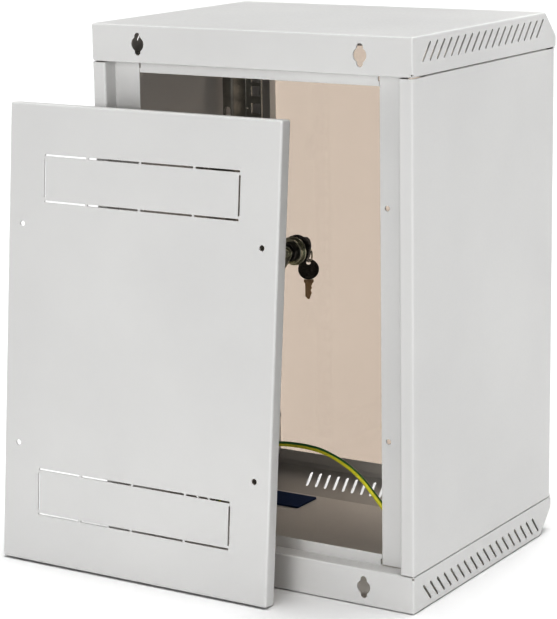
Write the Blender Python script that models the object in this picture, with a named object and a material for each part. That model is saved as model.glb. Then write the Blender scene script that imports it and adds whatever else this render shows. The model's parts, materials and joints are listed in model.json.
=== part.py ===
"""Network server rack cabinet for a wall, ten inches wide inside, with its rear panel taken off.

The cabinet stands on z = 0 with its origin at the centre of its footprint. +Z is up, the glass door
closes the front at -Y, the rear opening is at +Y. All values are in metres.
"""

import math

import bmesh
import bpy
from mathutils import Matrix, Vector

# ---------------------------------------------------------------- driving dimensions
WIDTH = 0.310
DEPTH = 0.260
HEIGHT = 0.473
SHEET = 0.0012              # thickness of the cabinet's steel sheet
GAP = 0.0003                # clearance between pieces that touch
EDGE_ROUND = 0.0016         # outer radius of the folded edges

CAP_HEIGHT = 0.032          # top and bottom caps, the same pressing turned over
CAP_CHAMFER = 0.0215        # slope along the caps' front edge
LEDGE_SIDE = 0.0145         # width of the caps' inner ledge along the sides
REAR_RECESS = 0.015         # depth of the seat for the rear panel
REAR_LIP = 0.0096           # upright lip above the ledge at the rear
FRONT_STOP = 0.0054         # depth of the ledge behind the door
FRONT_LIP = 0.0062          # upright lip behind the glass
FRONT_LIP_ROOT = 0.0024     # the lip starts this far below the ledge

SIDE_VENTS = 18
SIDE_VENT_FIRST = -0.0972   # middle of the foremost side vent
SIDE_VENT_PITCH = 0.0120
SIDE_VENT_LEAN = 0.0119
SIDE_VENT_LOW = 0.0066
SIDE_VENT_HIGH = 0.0200
SIDE_VENT_WIDTH = 0.0024

FRONT_VENTS = 20
FRONT_VENT_PITCH = 0.01006
FRONT_VENT_SHIFT = 0.0021   # the row lies this far to the right of the middle
FRONT_VENT_LEAN = 0.0003
FRONT_VENT_WIDTH = 0.0034
FRONT_VENT_LENGTH = 0.0161
FRONT_VENT_RISE = 0.0024    # their middles lie this far above the middle of the slope

KEYHOLE_X = 0.1075
KEYHOLE_Z = 0.016
KEYHOLE_RADIUS = 0.0062
KEYHOLE_SLOT = 0.0060
KEYHOLE_HEIGHT = 0.0190

PANEL_REVEAL = 0.0008       # dark joint between a side panel and the caps
PANEL_SCREW_X = 0.1472
PANEL_SCREW_Y = (-0.085, 0.085)
FRONT_SETBACK = 0.003       # side panels stop this far behind the caps' front
FRONT_OPENING = 0.133       # half width between the front flanges
FRONT_RETURN = 0.0115
REAR_FLANGE = 0.013         # flush flange beside the rear panel
REAR_OPENING = 0.117        # half width of the rear opening
FIXING_X = 0.1235           # holes for the rear panel's screws
FIXING_Z = 0.097
FIXING_RADIUS = 0.0023

RAIL_SHEET = 0.0020
RAIL_FRONT = -0.0698        # mounting face of the rails
RAIL_BACK = -0.0470
RAIL_INNER = 0.1120
RAIL_WEB = 0.1313
RAIL_OUTER = 0.1405
RAIL_LOW = 0.034
RAIL_HIGH = 0.439
RAIL_HOLE_X = 0.11826       # half of the ten-inch hole spacing
RAIL_HOLE = 0.0095
RACK_UNIT = 0.04445
RACK_HOLE_STEPS = (0.00635, 0.022225, 0.0381)
RAIL_FIRST_UNIT = 0.0456
RAIL_HOLES = 26
RAIL_PILOT_X = 0.1274       # small holes beside every middle square hole
RAIL_SLOT_X = 0.1354        # slots in the rails' outer flange
RAIL_SLOT_HIGHEST = 0.3750
RAIL_SLOT_REACH = 0.0042    # from a slot's middle to the middle of its round end
RAIL_SLOTS = 4
RAIL_TAB_HEIGHTS = (0.1513, 0.3217)
RAIL_TAB_HALF = 0.0115
RAIL_TRAVEL = 0.008
RAIL_STUD_Y = -0.030
RAIL_STUD_RADIUS = 0.0030
RAIL_STUD_LENGTH = 0.0125

GLASS_THICK = 0.004
GLASS_FRONT = -0.1326
GLASS_LEFT = -0.1430
GLASS_RIGHT = 0.1505
GLASS_LOW = 0.0360
HINGE_X = -0.1465
HINGE_Y = GLASS_FRONT + GLASS_THICK / 2
HINGE_PIN_RADIUS = 0.0019
HINGE_PLATE = 0.0015
HINGE_SCREW_X = (0.1495, 0.1425)
HINGE_SCREW_Z = 0.0272
SHOE_RADIUS = 0.0033
SHOE_HEIGHT = 0.0240
SHOE_END = -0.1280
SHOE_SCREW = (-0.1345, 0.0140)   # x, and height above the shoe's lower edge

BUMPER_X = 0.1385
BUMPER_Z = 0.0712
BUMPER_RADIUS = 0.0050

LOCK_X = 0.1166
LOCK_Z = 0.2353
LOCK_CAM_ANGLE = -60        # degrees from +X towards +Z
LOCK_BORE = 0.0093          # radius of the hole through the glass, washer and nut
LOCK_RIM = 0.0144           # radius of the housing's outer flange
LOCK_WELL = 0.0058          # radius of the housing's bore
LOCK_PROUD = 0.0058         # the housing's rim stands this far out of the glass
PLUG_RADIUS = 0.0055
PLUG_SUNK = 0.0032          # the plug's face lies this far inside the rim
PLUG_FRONT = GLASS_FRONT - GAP - LOCK_PROUD + PLUG_SUNK
CAM_BACK = -0.1132
CAM_THICK = 0.0018
CAM_SCREW_HOLE = 0.0045     # depth of the thread in the plug's end

KEY_SHOULDER = 0.0034
KEY_BLADE = 0.0155          # length of the blade that goes into the plug
KEY_BLADE_HALF = 0.0034
KEY_SHOULDER_HALF = 0.0047
BOW_RADIUS = 0.0100
BOW_THICK = 0.0028
BOW_HOLE_RADIUS = 0.0022
BOW_HOLE_OFFSET = 0.0064
KEY_HOLE_Y = PLUG_FRONT - GAP - KEY_SHOULDER - GAP - BOW_RADIUS - BOW_HOLE_OFFSET
RING_RADIUS = 0.0072
RING_WIRE = 0.0006
RING_DROP = 0.0009          # the ring's wire rests this far below the middle of a bow's hole
RING_AZIMUTH = -29          # degrees, direction of the ring's plane
SPARE_AZIMUTH = -57.7       # degrees, direction that the spare key's bow faces

REAR_PANEL_WIDTH = 0.278
REAR_PANEL_HEIGHT = 0.404
REAR_PANEL_DEPTH = 0.012
REAR_PANEL_X = 0.0965       # the panel leans against the right half of the rear
REAR_PANEL_LEAN = math.radians(5.32)
KNOCKOUT_WIDTH = 0.200
KNOCKOUT_HEIGHT = 0.040
KNOCKOUT_Z = 0.138
KNOCKOUT_BRIDGES = (-0.055, 0.0, 0.055)
BRIDGE = 0.0024
SLIT = 0.0016
PANEL_HOLE_RADIUS = 0.0025

SEAL_LOW = (0.0775, -0.1000)
SEAL_HIGH = (0.1310, -0.0655)
SEAL_RIM = 0.0025
SEAL_CORNER = 0.0014

LEAD_RADIUS = 0.0022
LUG_HALF_WIDTH = 0.0042
LUG_SHEET = 0.0012
LUG_BARREL_RADIUS = 0.0034
LUG_BARREL_LENGTH = 0.0110
STUD_BASE_RADIUS = 0.0060
STUD_BASE_HEIGHT = 0.0008
STUD_RADIUS = 0.0029
STUD_TOP = 0.0125
STUD_FROM_KNEE = 0.0085     # from the lug's fold to the middle of its hole
# The earth lead's route: a stiff arch from the right lug to the left one.
LEAD_ROUTE = (
    (0.1120, 0.0228, 0.0220), (0.1040, 0.0236, 0.0345), (0.0955, 0.0245, 0.0470),
    (0.0860, 0.0254, 0.0590), (0.0755, 0.0265, 0.0705), (0.0635, 0.0277, 0.0810),
    (0.0505, 0.0290, 0.0893), (0.0363, 0.0304, 0.0946), (0.0175, 0.0323, 0.0966),
    (0.0022, 0.0338, 0.0968), (-0.0100, 0.0350, 0.0958), (-0.0215, 0.0362, 0.0932),
    (-0.0315, 0.0372, 0.0898), (-0.0416, 0.0382, 0.0852), (-0.0500, 0.0390, 0.0802),
    (-0.0575, 0.0398, 0.0744), (-0.0645, 0.0405, 0.0678), (-0.0700, 0.0410, 0.0623),
    (-0.0748, 0.0415, 0.0574), (-0.0825, 0.0423, 0.0490), (-0.0905, 0.0431, 0.0400),
    (-0.0985, 0.0439, 0.0308), (-0.1060, 0.0446, 0.0220),
)

HALF_W = WIDTH / 2
HALF_D = DEPTH / 2
MID_Z = HEIGHT / 2
CAP_LEDGE = CAP_HEIGHT - SHEET                  # underside of the caps' inner ledge
CAP_INNER_BACK = HALF_D - REAR_RECESS - SHEET
CAP_INNER_FRONT = -HALF_D + SHEET + FRONT_STOP
CURVE_STEPS = 4


# ---------------------------------------------------------------- materials
def material(name, colour, roughness, metallic):
    """A Principled material; one is made for each sub-part."""
    made = bpy.data.materials.new(name)
    made.use_nodes = True
    shader = made.node_tree.nodes["Principled BSDF"]
    shader.inputs["Base Color"].default_value = (*colour, 1.0)
    shader.inputs["Roughness"].default_value = roughness
    shader.inputs["Metallic"].default_value = metallic
    made.diffuse_color = (*colour, 1.0)
    return made


FINISHES = {
    "powder_coat": ((0.66, 0.66, 0.655), 0.55, 0.0),
    "zinc": ((0.60, 0.60, 0.58), 0.35, 1.0),
    "steel": ((0.50, 0.50, 0.49), 0.30, 1.0),
    "black_plastic": ((0.012, 0.012, 0.012), 0.40, 0.0),
    "black_lock": ((0.015, 0.014, 0.014), 0.35, 0.0),
    "bronze_glass": ((0.45, 0.36, 0.29), 0.05, 0.0),
    "navy_rubber": ((0.004, 0.012, 0.040), 0.60, 0.0),
    "earth_sheath": ((0.55, 0.62, 0.05), 0.45, 0.0),
    "key_metal": ((0.42, 0.34, 0.22), 0.35, 1.0),
    "clear_rubber": ((0.05, 0.05, 0.05), 0.60, 0.0),
}


# ---------------------------------------------------------------- making objects
def add_object(name, bm, finish):
    """Turn a bmesh into a named object with its own material."""
    bmesh.ops.recalc_face_normals(bm, faces=bm.faces)
    mesh = bpy.data.meshes.new(name)
    bm.to_mesh(mesh)
    bm.free()
    return place_mesh(name, mesh, finish)


def place_mesh(name, mesh, finish):
    """Link a mesh to the scene as an object and shade it."""
    colour, roughness, metallic = FINISHES[finish]
    if not mesh.materials:
        mesh.materials.append(material(name, colour, roughness, metallic))
    mesh.shade_smooth()
    mesh.set_sharp_from_angle(angle=math.radians(35))
    made = bpy.data.objects.new(name, mesh)
    bpy.context.collection.objects.link(made)
    return made


def copy_of(name, source, finish):
    """A second object of the same shape, with a material of its own."""
    mesh = source.data.copy()
    mesh.materials.clear()
    return place_mesh(name, mesh, finish)


def turned_over(name, source, finish):
    """A copy of an object, turned half round about an axis along Y at mid-height."""
    made = copy_of(name, source, finish)
    made.data.transform(Matrix.Translation((0, 0, HEIGHT)) @ Matrix.Rotation(math.pi, 4, "Y"))
    return made


def mirrored(name, source, finish, axis):
    """A mirror image of an object, across x = 0 or across mid-height."""
    made = copy_of(name, source, finish)
    if axis == "X":
        made.data.transform(Matrix.Diagonal((-1, 1, 1, 1)))
    else:
        made.data.transform(Matrix.Translation((0, 0, HEIGHT)) @ Matrix.Diagonal((1, 1, -1, 1)))
    made.data.flip_normals()
    return made


def boolean(target, other_bm, operation):
    """Cut another shape from an object, or join it on, and keep the result as its mesh."""
    bmesh.ops.recalc_face_normals(other_bm, faces=other_bm.faces)
    mesh = bpy.data.meshes.new("tool")
    other_bm.to_mesh(mesh)
    other_bm.free()
    tool = bpy.data.objects.new("tool", mesh)
    tool.hide_render = True
    tool.display_type = "WIRE"
    bpy.context.collection.objects.link(tool)
    step = target.modifiers.new(operation, "BOOLEAN")
    step.operation = operation
    step.object = tool
    evaluated = target.evaluated_get(bpy.context.evaluated_depsgraph_get())
    result = bpy.data.meshes.new_from_object(evaluated)
    target.modifiers.clear()
    old = target.data
    result.name = old.name
    target.data = result
    bpy.data.meshes.remove(old)
    bpy.data.objects.remove(tool)
    bpy.data.meshes.remove(mesh)


def cut(target, *shapes):
    """Cut shapes that don't touch each other from an object, in one step."""
    boolean(target, merged(shapes), "DIFFERENCE")


def join(target, shape):
    """Join one shape onto an object."""
    boolean(target, shape, "UNION")


def merged(shapes):
    """One bmesh that holds several closed shapes."""
    whole = bmesh.new()
    for shape in shapes:
        bmesh.ops.recalc_face_normals(shape, faces=shape.faces)
        mesh = bpy.data.meshes.new("shape")
        shape.to_mesh(mesh)
        shape.free()
        whole.from_mesh(mesh)
        bpy.data.meshes.remove(mesh)
    return whole


# ---------------------------------------------------------------- shapes
def box(low, high):
    """A closed box between two corners."""
    bm = bmesh.new()
    size = Vector(high) - Vector(low)
    middle = (Vector(high) + Vector(low)) / 2
    bmesh.ops.create_cube(bm, size=1, matrix=Matrix.Translation(middle) @ Matrix.Diagonal((*size, 1)))
    return bm


def rounded_box(low, high, radius, steps=3, keep=None):
    """A box with rounded edges; keep(edge) picks which edges are rounded."""
    bm = box(low, high)
    edges = [edge for edge in bm.edges if keep is None or keep(edge)]
    bmesh.ops.bevel(bm, geom=edges, offset=radius, segments=steps, profile=0.5, affect="EDGES")
    return bm


def prism(outline, start, end, to_space):
    """Extrude a flat outline from start to end; to_space(a, b, depth) gives the point in space."""
    bm = bmesh.new()
    ends = []
    for depth in (start, end):
        ends.append([bm.verts.new(to_space(a, b, depth)) for a, b in outline])
    count = len(outline)
    for index in range(count):
        after = (index + 1) % count
        bm.faces.new((ends[0][index], ends[0][after], ends[1][after], ends[1][index]))
    bm.faces.new(ends[0])
    bm.faces.new(ends[1])
    return bm


def along_x(a, b, depth):
    return (depth, a, b)


def along_y(a, b, depth):
    return (a, depth, b)


def along_z(a, b, depth):
    return (a, b, depth)


def circle(centre, radius, count, turn=0.0):
    """Points of a circle, with its first point at the given turn in radians."""
    step = 2 * math.pi / count
    return [
        (centre[0] + radius * math.cos(turn + step * i), centre[1] + radius * math.sin(turn + step * i))
        for i in range(count)
    ]


def arc(centre, radius, first, last, steps):
    """Points of an arc from one angle to another, both ends included."""
    return [
        (
            centre[0] + radius * math.cos(first + (last - first) * i / steps),
            centre[1] + radius * math.sin(first + (last - first) * i / steps),
        )
        for i in range(steps + 1)
    ]


def slot_outline(start, end, width, steps=4):
    """A straight slot with round ends between the middles of two end arcs."""
    direction = math.atan2(end[1] - start[1], end[0] - start[0])
    quarter = math.pi / 2
    return (
        arc(end, width / 2, direction - quarter, direction + quarter, steps)
        + arc(start, width / 2, direction + quarter, direction + 3 * quarter, steps)
    )


def rounded_rectangle(low, high, radius, steps=4):
    """Outline of a rectangle with round corners."""
    corners = (
        (high[0] - radius, high[1] - radius),
        (low[0] + radius, high[1] - radius),
        (low[0] + radius, low[1] + radius),
        (high[0] - radius, low[1] + radius),
    )
    points = []
    for number, corner in enumerate(corners):
        points += arc(corner, radius, math.pi / 2 * number, math.pi / 2 * (number + 1), steps)
    return points


def bent_strip(path, thickness, radius, steps=CURVE_STEPS):
    """Outline of a folded sheet: a path through its middle, rounded at each fold, given thickness."""
    path = [Vector(point) for point in path]
    stations = [(path[0], (path[1] - path[0]).normalized())]
    for before, corner, after in zip(path, path[1:], path[2:]):
        arriving = (corner - before).normalized()
        leaving = (after - corner).normalized()
        half = arriving.angle(-leaving) / 2
        start = corner - arriving * radius / math.tan(half)
        centre = corner + (leaving - arriving).normalized() * radius / math.sin(half)
        outward = (start - centre).normalized()
        end_outward = (corner + leaving * radius / math.tan(half) - centre).normalized()
        for i in range(steps + 1):
            spoke = outward.slerp(end_outward, i / steps)
            stations.append((centre + spoke * radius, arriving.slerp(leaving, i / steps)))
    stations.append((path[-1], (path[-1] - path[-2]).normalized()))
    left = [tuple(point + Vector((-ahead.y, ahead.x)) * thickness / 2) for point, ahead in stations]
    right = [tuple(point - Vector((-ahead.y, ahead.x)) * thickness / 2) for point, ahead in stations]
    return left + right[::-1]


def turned(profile, count, origin, axis):
    """Turn a profile of (radius, height) points about an axis; both ends lie on the axis."""
    bm = bmesh.new()
    rings = []
    for radius, height in profile:
        if radius == 0:
            rings.append([bm.verts.new((0, 0, height))] * count)
        else:
            rings.append([bm.verts.new((x, y, height)) for x, y in circle((0, 0), radius, count)])
    for low, high in zip(rings, rings[1:]):
        for i in range(count):
            after = (i + 1) % count
            corners = [low[i], low[after], high[after], high[i]]
            bm.faces.new(list(dict.fromkeys(corners)))
    bmesh.ops.transform(bm, matrix=stood_on(origin, axis), verts=bm.verts)
    return bm


def stood_on(origin, axis):
    """Placement that turns +Z to an axis and puts the origin at a point."""
    spin = Vector((0, 0, 1)).rotation_difference(Vector(axis)).to_matrix().to_4x4()
    return Matrix.Translation(origin) @ spin


def ring_profile(inner, outer, low, high):
    """Closed loop of (radius, height) points for a plain ring."""
    return [(inner, low), (outer, low), (outer, high), (inner, high)]


def turned_ring(profile, count, origin, axis):
    """Turn a closed profile that stays clear of the axis."""
    bm = bmesh.new()
    rings = [[bm.verts.new((x, y, h)) for x, y in circle((0, 0), r, count)] for r, h in profile]
    for low, high in zip(rings, rings[1:] + rings[:1]):
        for i in range(count):
            after = (i + 1) % count
            bm.faces.new((low[i], low[after], high[after], high[i]))
    bmesh.ops.transform(bm, matrix=stood_on(origin, axis), verts=bm.verts)
    return bm


def screw(name, origin, axis, head_radius, head_height, shank_radius, length, count=16):
    """A pan-head screw with a round socket; the head's underside is at origin, the shank runs along axis."""
    socket = head_radius * 0.42
    crown = head_radius * 0.78
    profile = [
        (0, -head_height * 0.45),
        (socket, -head_height * 0.45),
        (socket, -head_height),
        (crown, -head_height),
        (head_radius, -head_height * 0.55),
        (head_radius, 0),
        (shank_radius, 0),
        (shank_radius, length),
        (0, length),
    ]
    return add_object(name, turned(profile, count, origin, axis), "zinc")


def hex_nut(name, origin, axis, bore, across, height):
    """A nut with a washer face; its underside is at origin and it rises along axis."""
    washer = height * 0.26
    body = turned_ring(ring_profile(bore, across * 0.66, 0, washer), 24, (0, 0, 0), (0, 0, 1))
    made = add_object(name, body, "zinc")
    join(made, prism(circle((0, 0), across / math.sqrt(3), 6), washer / 2, height, along_z))
    cut(made, prism(circle((0, 0), bore, 24), -0.001, height + 0.001, along_z))
    made.data.transform(stood_on(origin, axis))


# ---------------------------------------------------------------- caps
def cap_section(inset, rim):
    """Side view of a cap, or of the space inside it when inset by the sheet's thickness."""
    shift = inset * (math.sqrt(2) - 1)
    back = HALF_D - inset
    front = -HALF_D + inset
    return [
        (back, inset),
        (back, rim),
        (front, rim),
        (front, CAP_CHAMFER + shift),
        (-HALF_D + CAP_CHAMFER + shift, inset),
    ]


def side_vents(x_low, x_high):
    """Slanted vents through one side skirt; they lean towards the front as they near the rim."""
    for i in range(SIDE_VENTS):
        middle = SIDE_VENT_FIRST + SIDE_VENT_PITCH * i
        start = (middle - SIDE_VENT_LEAN / 2, SIDE_VENT_LOW)
        end = (middle + SIDE_VENT_LEAN / 2, SIDE_VENT_HIGH)
        yield prism(slot_outline(start, end, SIDE_VENT_WIDTH), x_low, x_high, along_x)


def front_vents():
    """Slanted vents through the sloping front of a cap."""
    slope = Matrix.Rotation(math.radians(45), 4, "X")
    middle_y = -HALF_D + CAP_CHAMFER / 2 - FRONT_VENT_RISE * math.sin(math.radians(45))
    middle_z = CAP_CHAMFER / 2 + FRONT_VENT_RISE * math.sin(math.radians(45))
    reach = (FRONT_VENT_LENGTH - FRONT_VENT_WIDTH) / 2
    outline = slot_outline((-FRONT_VENT_LEAN / 2, -reach), (FRONT_VENT_LEAN / 2, reach), FRONT_VENT_WIDTH)
    for i in range(FRONT_VENTS):
        x = FRONT_VENT_SHIFT + FRONT_VENT_PITCH * (i - (FRONT_VENTS - 1) / 2)
        vent = prism(outline, -0.004, 0.004, along_y)
        place = Matrix.Translation((x, middle_y, middle_z)) @ slope
        bmesh.ops.transform(vent, matrix=place, verts=vent.verts)
        yield vent


def keyhole(x):
    """A hanging hole in the rear skirt: a circle with a narrow lobe above and below."""
    lobe = (KEYHOLE_HEIGHT - KEYHOLE_SLOT) / 2
    half = KEYHOLE_SLOT / 2
    meet = math.asin(half / KEYHOLE_RADIUS)
    upper = (x, KEYHOLE_Z + lobe)
    lower = (x, KEYHOLE_Z - lobe)
    middle = (x, KEYHOLE_Z)
    quarter = math.pi / 2
    outline = (
        arc(upper, half, 0, 2 * quarter, 8)
        + arc(middle, KEYHOLE_RADIUS, quarter + meet, 3 * quarter - meet, 8)
        + arc(lower, half, 2 * quarter, 4 * quarter, 8)
        + arc(middle, KEYHOLE_RADIUS, -quarter + meet, quarter - meet, 8)
    )
    return prism(outline, HALF_D - 0.004, HALF_D + 0.004, along_y)


def cap_shell(name):
    """A folded pan with a ledge around its rim."""
    bm = prism(cap_section(0, CAP_HEIGHT), -HALF_W, HALF_W, along_x)
    bmesh.ops.recalc_face_normals(bm, faces=bm.faces)
    bmesh.ops.bevel(bm, geom=bm.edges[:], offset=EDGE_ROUND, segments=3, profile=0.5, affect="EDGES")
    cap = add_object(name, bm, "powder_coat")
    hollow = prism(cap_section(SHEET, CAP_LEDGE), -HALF_W + SHEET, HALF_W - SHEET, along_x)
    cut(cap, hollow)
    inner_x = HALF_W - LEDGE_SIDE
    cut(cap, box((-inner_x, CAP_INNER_FRONT, CAP_LEDGE - 0.001), (inner_x, CAP_INNER_BACK, CAP_HEIGHT + 0.001)))
    return cap


def cap_corner_notches():
    """Small relief holes where the rear skirt and the rear lip meet their neighbours."""
    rear_x = REAR_OPENING - GAP
    for side in (-1, 1):
        corner = (side * (HALF_W - 0.0006), HALF_D - 0.0006)
        yield prism(circle(corner, 0.0013, 10), CAP_LEDGE - 0.0014, CAP_HEIGHT + 0.001, along_z)
        yield box(
            (side * rear_x - 0.0013, CAP_INNER_BACK - 0.001, CAP_HEIGHT + 0.0012),
            (side * rear_x + 0.0013, CAP_INNER_BACK + SHEET + 0.001, CAP_HEIGHT + 0.0056),
        )


def cap_screw_holes():
    """Holes for the screws of the side panels and of the hinge bracket."""
    for side in (-1, 1):
        for y in PANEL_SCREW_Y:
            hole = circle((side * PANEL_SCREW_X, y), 0.0028, 16)
            yield prism(hole, CAP_LEDGE - 0.002, CAP_HEIGHT + 0.002, along_z)
        for x in HINGE_SCREW_X:
            hole = circle((side * x, HINGE_SCREW_Z), 0.0016, 12)
            yield prism(hole, -HALF_D - 0.003, -HALF_D + 0.003, along_y)


def make_cap(name):
    """One cap, as the bottom one: the shell with a lip at the rear and at the front, and its holes."""
    cap = cap_shell(name)
    rear_x = REAR_OPENING - GAP
    front_x = FRONT_OPENING - GAP
    back = CAP_INNER_BACK
    front = CAP_INNER_FRONT
    join(cap, box((-rear_x, back, CAP_LEDGE), (rear_x, back + SHEET, CAP_HEIGHT + REAR_LIP)))
    root = CAP_LEDGE - FRONT_LIP_ROOT
    join(cap, box((-front_x, front - SHEET, root), (front_x, front, CAP_HEIGHT + FRONT_LIP)))
    cut(cap, *side_vents(-HALF_W - 0.004, -HALF_W + 0.004))
    cut(cap, *side_vents(HALF_W - 0.004, HALF_W + 0.004))
    cut(cap, *front_vents())
    cut(cap, keyhole(-KEYHOLE_X), keyhole(KEYHOLE_X))
    cut(cap, *cap_corner_notches(), *cap_screw_holes())
    return cap


def make_caps():
    """The bottom cap has a cable entry in its floor; the top cap is the same pressing without it."""
    bottom = make_cap("bottom_cap")
    turned_over("top_cap", bottom, "powder_coat")
    entry_low = (SEAL_LOW[0] + SEAL_RIM, SEAL_LOW[1] + SEAL_RIM)
    entry_high = (SEAL_HIGH[0] - SEAL_RIM, SEAL_HIGH[1] - SEAL_RIM)
    cut(bottom, prism(rounded_rectangle(entry_low, entry_high, SEAL_CORNER), -0.002, 0.004, along_z))
    seal = prism(rounded_rectangle(SEAL_LOW, SEAL_HIGH, SEAL_CORNER), SHEET + GAP, SHEET + 0.0018, along_z)
    seal_object = add_object("cable_entry_seal", seal, "navy_rubber")
    plug_low = (entry_low[0] + GAP, entry_low[1] + GAP)
    plug_high = (entry_high[0] - GAP, entry_high[1] - GAP)
    plug = rounded_rectangle(plug_low, plug_high, SEAL_CORNER - GAP)
    join(seal_object, prism(plug, 0.0004, SHEET + 0.001, along_z))


# ---------------------------------------------------------------- side panels
def make_side_panels():
    """One folded sheet per side: door flange, wall, flush rear flange and the seat for the rear panel."""
    half = SHEET / 2
    path = [
        (FRONT_OPENING + half, -HALF_D + FRONT_SETBACK + FRONT_RETURN),
        (FRONT_OPENING + half, -HALF_D + FRONT_SETBACK + half),
        (HALF_W - half, -HALF_D + FRONT_SETBACK + half),
        (HALF_W - half, HALF_D - half),
        (HALF_W - REAR_FLANGE + half, HALF_D - half),
        (HALF_W - REAR_FLANGE + half, HALF_D - REAR_RECESS - half),
        (REAR_OPENING, HALF_D - REAR_RECESS - half),
    ]
    low = CAP_HEIGHT + PANEL_REVEAL
    wall = prism(bent_strip(path, SHEET, 0.0014), low, HEIGHT - low, along_z)
    right = add_object("right_side_panel", wall, "powder_coat")
    for z in (CAP_HEIGHT + GAP, HEIGHT - CAP_HEIGHT - GAP - SHEET):
        join(right, box((0.1408, -0.112, z), (HALF_W - half, 0.108, z + SHEET)))
    for z in RAIL_TAB_HEIGHTS:
        stud = circle((RAIL_STUD_Y, z), RAIL_STUD_RADIUS, 16)
        join(right, prism(stud, HALF_W - RAIL_STUD_LENGTH, HALF_W - half, along_x))
    for z in (MID_Z - FIXING_Z, MID_Z + FIXING_Z):
        cut(right, prism(circle((FIXING_X, z), FIXING_RADIUS, 20), 0.110, 0.118, along_y))
    threads = [
        prism(circle((PANEL_SCREW_X, y), 0.0024, 12), z - 0.002, z + 0.002, along_z)
        for y in PANEL_SCREW_Y
        for z in (CAP_HEIGHT, HEIGHT - CAP_HEIGHT)
    ]
    cut(right, *threads)
    turned_over("left_side_panel", right, "powder_coat")


def make_panel_screws():
    """Screws that hold the side panels, put in from inside the caps."""
    seat = CAP_LEDGE - GAP
    number = 0
    for z, direction in ((seat, (0, 0, 1)), (HEIGHT - seat, (0, 0, -1))):
        for x in (-PANEL_SCREW_X, PANEL_SCREW_X):
            for y in PANEL_SCREW_Y:
                number += 1
                screw(f"panel_screw_{number}", (x, y, z), direction, 0.0042, 0.0026, 0.0021, 0.0075, 12)


# ---------------------------------------------------------------- mounting rails
def rail_square_holes():
    """Square holes, three to a rack unit."""
    half = RAIL_HOLE / 2
    for i in range(RAIL_HOLES):
        z = RAIL_FIRST_UNIT + RACK_UNIT * (i // 3) + RACK_HOLE_STEPS[i % 3]
        low = (RAIL_HOLE_X - half, RAIL_FRONT - 0.002, z - half)
        yield box(low, (RAIL_HOLE_X + half, RAIL_FRONT + 0.004, z + half))


def rail_small_holes():
    """Slots in the outer flange and pilot holes beside the middle square hole of each unit."""
    for i in range(RAIL_SLOTS):
        z = RAIL_SLOT_HIGHEST - 2 * RACK_UNIT * i
        slot = slot_outline((RAIL_SLOT_X, z - RAIL_SLOT_REACH), (RAIL_SLOT_X, z + RAIL_SLOT_REACH), 0.0060)
        yield prism(slot, RAIL_BACK - 0.004, RAIL_BACK + 0.003, along_y)
    for i in range(RAIL_HOLES // 3):
        z = RAIL_FIRST_UNIT + RACK_UNIT * (i + 0.5)
        yield prism(circle((RAIL_PILOT_X, z), 0.0011, 10), RAIL_FRONT - 0.002, RAIL_FRONT + 0.004, along_y)


def make_rail_tabs(rail, wall):
    """Two tabs that reach the side panel, slotted for its studs so that the rail can slide."""
    half = RAIL_SHEET / 2
    end = RAIL_STUD_Y + RAIL_TRAVEL + 0.0065
    path = [(RAIL_OUTER - 0.004, RAIL_BACK - half), (wall - half, RAIL_BACK - half), (wall - half, end)]
    reach = RAIL_TRAVEL + GAP
    for z in RAIL_TAB_HEIGHTS:
        join(rail, prism(bent_strip(path, RAIL_SHEET, 0.0018), z - RAIL_TAB_HALF, z + RAIL_TAB_HALF, along_z))
        slot = slot_outline((RAIL_STUD_Y - reach, z), (RAIL_STUD_Y + reach, z), 0.0068)
        cut(rail, prism(slot, wall - 0.004, wall + 0.004, along_x))


def make_rails():
    """Z-section rails with square holes, each held to its side panel by two nuts."""
    half = RAIL_SHEET / 2
    path = [
        (RAIL_OUTER, RAIL_BACK - half),
        (RAIL_WEB - half, RAIL_BACK - half),
        (RAIL_WEB - half, RAIL_FRONT + half),
        (RAIL_INNER, RAIL_FRONT + half),
    ]
    section = prism(bent_strip(path, RAIL_SHEET, 0.0018), RAIL_LOW, RAIL_HIGH, along_z)
    right = add_object("right_mounting_rail", section, "zinc")
    wall = HALF_W - SHEET - GAP
    make_rail_tabs(right, wall)
    cut(right, *rail_square_holes())
    cut(right, *rail_small_holes())
    mirrored("left_mounting_rail", right, "zinc", "X")
    for side, word in ((1, "right"), (-1, "left")):
        for z, level in zip(RAIL_TAB_HEIGHTS, ("lower", "upper")):
            seat = (side * (wall - RAIL_SHEET - GAP), RAIL_STUD_Y, z)
            hex_nut(f"{word}_rail_nut_{level}", seat, (-side, 0, 0), 0.0033, 0.0100, 0.0052)


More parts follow.
